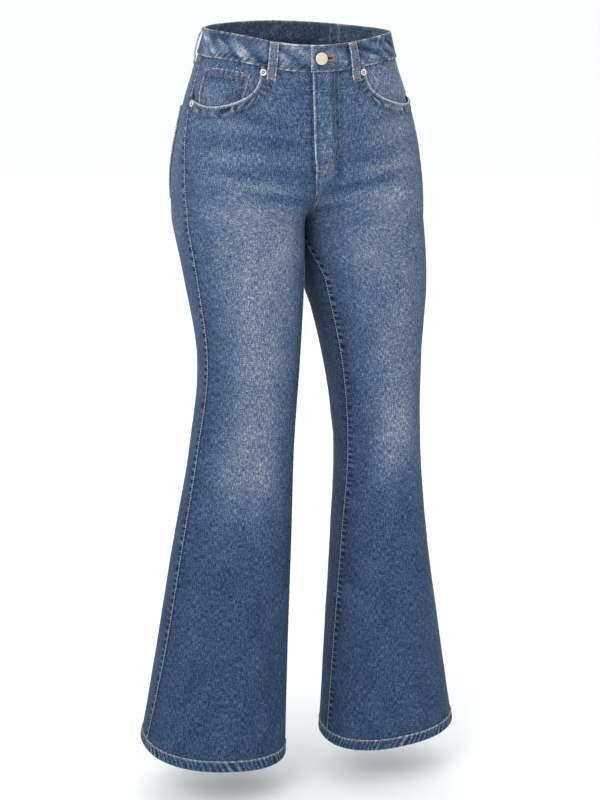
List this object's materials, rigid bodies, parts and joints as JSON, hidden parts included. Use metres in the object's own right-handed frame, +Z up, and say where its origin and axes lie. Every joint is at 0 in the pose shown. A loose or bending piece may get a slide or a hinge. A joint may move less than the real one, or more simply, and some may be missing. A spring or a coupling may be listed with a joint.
{
  "type": "bootcut jeans",
  "caption": "High-waisted bootcut jeans with a fly, front, coin and back pockets and belt loops, filled out and hollow as if worn.",
  "frame": {"origin": "centre of the waist, level with the top edge of the waistband at the sides", "axes": "+Z up, the front faces -Y, +X is the wearer's left"},
  "size_m": [0.4698, 0.2502, 1.041],
  "materials": {
    "denim": "mid-blue stretch twill, faded pale on the thighs, darker below the knee",
    "zip_tape": "dark woven tape",
    "button_metal": "pale satin metal, slightly domed and plain",
    "rivet_metal": "pale plated metal"
  },
  "bodies": {
    "root": {"waistband": "denim", "front_right": "denim", "front_left": "denim", "back_right": "denim", "back_left": "denim", "yoke_right": "denim", "yoke_left": "denim", "pocket_facing_right": "denim", "pocket_facing_left": "denim", "coin_pocket": "denim", "back_pocket_right": "denim", "back_pocket_left": "denim", "fly_shield": "denim", "belt_loop_front_right": "denim", "belt_loop_front_left": "denim", "belt_loop_side_right": "denim", "belt_loop_side_left": "denim", "belt_loop_back": "denim", "hem_right": "denim", "hem_left": "denim", "zip": "zip_tape", "button": "button_metal", "rivet_right_inner": "rivet_metal", "rivet_right_outer": "rivet_metal", "rivet_left_inner": "rivet_metal", "rivet_left_outer": "rivet_metal"}
  },
  "joints": []
}
